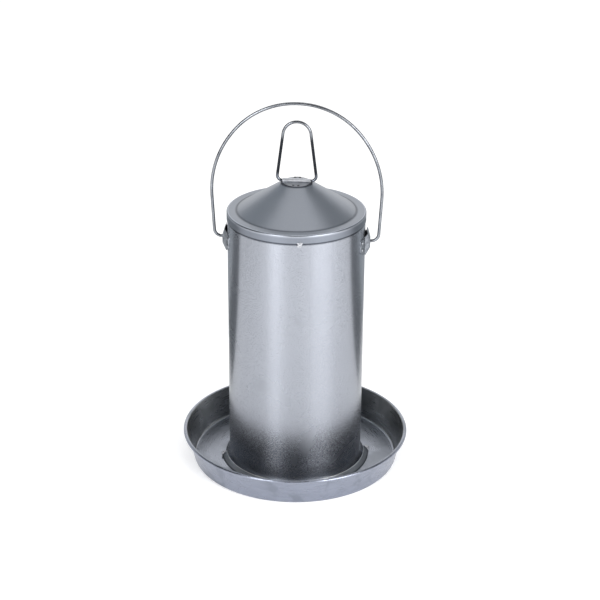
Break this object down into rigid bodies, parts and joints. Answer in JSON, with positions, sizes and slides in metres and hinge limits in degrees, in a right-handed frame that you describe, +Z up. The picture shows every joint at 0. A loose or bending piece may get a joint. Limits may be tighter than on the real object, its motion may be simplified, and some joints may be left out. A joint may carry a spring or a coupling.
{
  "type": "poultry drinker",
  "caption": "Sheet-metal siphon drinker for poultry: tall closed reservoir with a conical cap, standing in a round rimmed tray, with a swinging wire bail and lifting loop.",
  "frame": {"origin": "centre of the tray's underside, on the reservoir tube's axis", "axes": "+Z up along the tube's axis, -Y towards the front with the visible cap tack, X along the bail's pivots"},
  "size_m": [0.2548, 0.2548, 0.4193],
  "materials": {
    "tray_sheet": "dull, finely brushed",
    "tube_sheet": "satin, brushed round the tube",
    "cap_sheet": "satin, spun",
    "fitting_sheet": "satin",
    "bail_wire": "drawn wire",
    "loop_wire": "drawn wire",
    "rivet": "satin",
    "weld": "bright bead"
  },
  "bodies": {
    "drinker": {"tray": "tray_sheet", "reservoir_tube": "tube_sheet", "cap": "cap_sheet", "foot_retainer": "fitting_sheet", "loop_clip": "fitting_sheet", "ear_right": "fitting_sheet", "ear_left": "fitting_sheet", "ear_rivet_right_front_upper": "rivet", "ear_rivet_right_front_lower": "rivet", "ear_rivet_right_rear_upper": "rivet", "ear_rivet_right_rear_lower": "rivet", "ear_rivet_left_front_upper": "rivet", "ear_rivet_left_front_lower": "rivet", "ear_rivet_left_rear_upper": "rivet", "ear_rivet_left_rear_lower": "rivet", "clip_rivet_front_right": "rivet", "clip_rivet_front_left": "rivet", "clip_rivet_rear_right": "rivet", "clip_rivet_rear_left": "rivet", "retainer_tack_right_end": "weld", "retainer_tack_front_right": "weld", "retainer_tack_front_left": "weld", "retainer_tack_left_end": "weld", "cap_tack_front": "weld", "cap_tack_rear_right": "weld", "cap_tack_rear_left": "weld"},
    "bail": {"bail": "bail_wire"},
    "loop": {"lifting_loop": "loop_wire"}
  },
  "joints": [
    {"name": "bail_hinge", "type": "hinge", "parent": "drinker", "child": "bail", "pos_m": [0, 0, 0.265], "axis": [1, 0, 0], "range_deg": [-147, 147]},
    {"name": "loop_hinge", "type": "hinge", "parent": "drinker", "child": "loop", "pos_m": [0, 0, 0.33165], "axis": [1, 0, 0], "range_deg": [-108, 108]}
  ]
}
